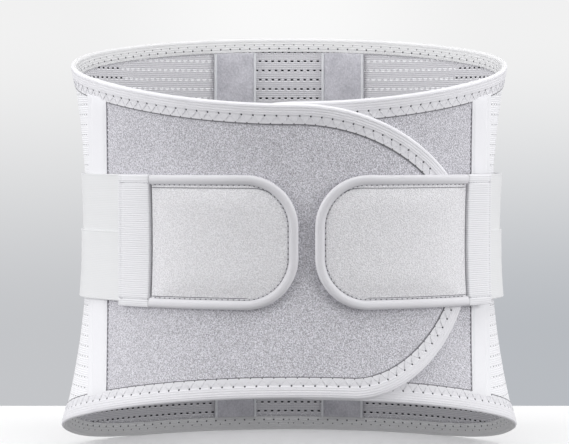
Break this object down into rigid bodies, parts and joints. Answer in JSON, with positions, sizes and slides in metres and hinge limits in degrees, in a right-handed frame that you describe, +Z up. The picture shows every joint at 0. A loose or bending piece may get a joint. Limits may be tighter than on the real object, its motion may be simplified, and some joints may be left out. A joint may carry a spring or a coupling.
{
  "type": "back brace",
  "caption": "Wrap-around lumbar support belt with overlapping padded front panels, mesh sides, stay channels, and two elastic pull straps ending in rounded hook-and-loop pads.",
  "frame": {"origin": "on the wearer's vertical axis at the narrowest height, the middle of the waist opening", "axes": "+X towards the end of the waist where the short right-hand pad is rooted, -Y the front with the two pads, +Z up along the wearer's spine"},
  "size_m": [0.2972, 0.227, 0.2729],
  "materials": {
    "mesh": "white knitted mesh with rows of small eyelets",
    "binding": "white ribbed fold-over elastic with zigzag stitching",
    "pad_binding": "smooth pale elastic, rounded",
    "panel_loop": "grey brushed loop fabric",
    "pad_loop": "light grey brushed loop fabric",
    "core": "thin foam laminate",
    "lining": "grey soft lining",
    "sleeve": "grey brushed fabric with pale piping",
    "channel": "white padded channel",
    "tape": "white woven tape",
    "band": "smooth white elastic",
    "hook": "hook tape",
    "stay": "flat moulded stay"
  },
  "bodies": {
    "back": {"back_mesh": "mesh", "back_top_binding": "binding", "back_bottom_binding": "binding", "left_back_sleeve": "sleeve", "left_back_stay": "stay", "left_back_channel": "channel", "left_upper_band_rear": "band", "left_lower_band_rear": "band", "right_back_sleeve": "sleeve", "right_back_stay": "stay", "right_back_channel": "channel", "right_upper_band_rear": "band", "right_lower_band_rear": "band"},
    "left_front": {"left_side_mesh": "mesh", "left_front_binding": "binding", "left_panel_lining": "lining", "left_panel_core": "core", "left_panel_face": "panel_loop", "left_side_tape": "tape", "left_side_sleeve": "sleeve", "left_side_stay": "stay", "left_hook_patch": "hook"},
    "right_front": {"right_side_mesh": "mesh", "right_front_binding": "binding", "right_panel_lining": "lining", "right_panel_core": "core", "right_panel_face": "panel_loop", "right_side_tape": "tape", "right_side_sleeve": "sleeve", "right_side_stay": "stay"},
    "left_strap": {"left_upper_band": "band", "left_lower_band": "band", "left_root_tape": "tape"},
    "left_pad": {"left_pad_binding": "pad_binding", "left_pad_body": "pad_loop", "left_pad_hook": "hook"},
    "right_strap": {"right_upper_band": "band", "right_lower_band": "band", "right_root_tape": "tape"},
    "right_pad": {"right_pad_binding": "pad_binding", "right_pad_body": "pad_loop", "right_pad_hook": "hook"}
  },
  "joints": [
    {"name": "left_open", "type": "hinge", "parent": "back", "child": "left_front", "pos_m": [-0.13556, 0.05321, 0], "axis": [0, 0, -1], "range_deg": [0, 60]},
    {"name": "right_open", "type": "hinge", "parent": "back", "child": "right_front", "pos_m": [0.13556, 0.05321, 0], "axis": [0, 0, 1], "range_deg": [0, 51]},
    {"name": "left_strap_swing", "type": "hinge", "parent": "left_front", "child": "left_strap", "pos_m": [-0.13556, 0.05321, 0], "axis": [0, 0, -1], "range_deg": [0, 60]},
    {"name": "right_strap_swing", "type": "hinge", "parent": "right_front", "child": "right_strap", "pos_m": [0.13556, 0.05321, 0], "axis": [0, 0, 1], "range_deg": [0, 36]},
    {"name": "left_pad_peel", "type": "hinge", "parent": "left_strap", "child": "left_pad", "pos_m": [-0.08715, -0.07627, 0], "axis": [0, 0, -1], "range_deg": [0, 100]},
    {"name": "right_pad_peel", "type": "hinge", "parent": "right_strap", "child": "right_pad", "pos_m": [0.11239, -0.06159, 0], "axis": [0, 0, 1], "range_deg": [0, 100]}
  ],
  "couplings": [
    {"joint": "right_open", "follows": "left_open", "ratio": 0.85},
    {"joint": "right_strap_swing", "follows": "left_open", "ratio": 0.6}
  ]
}
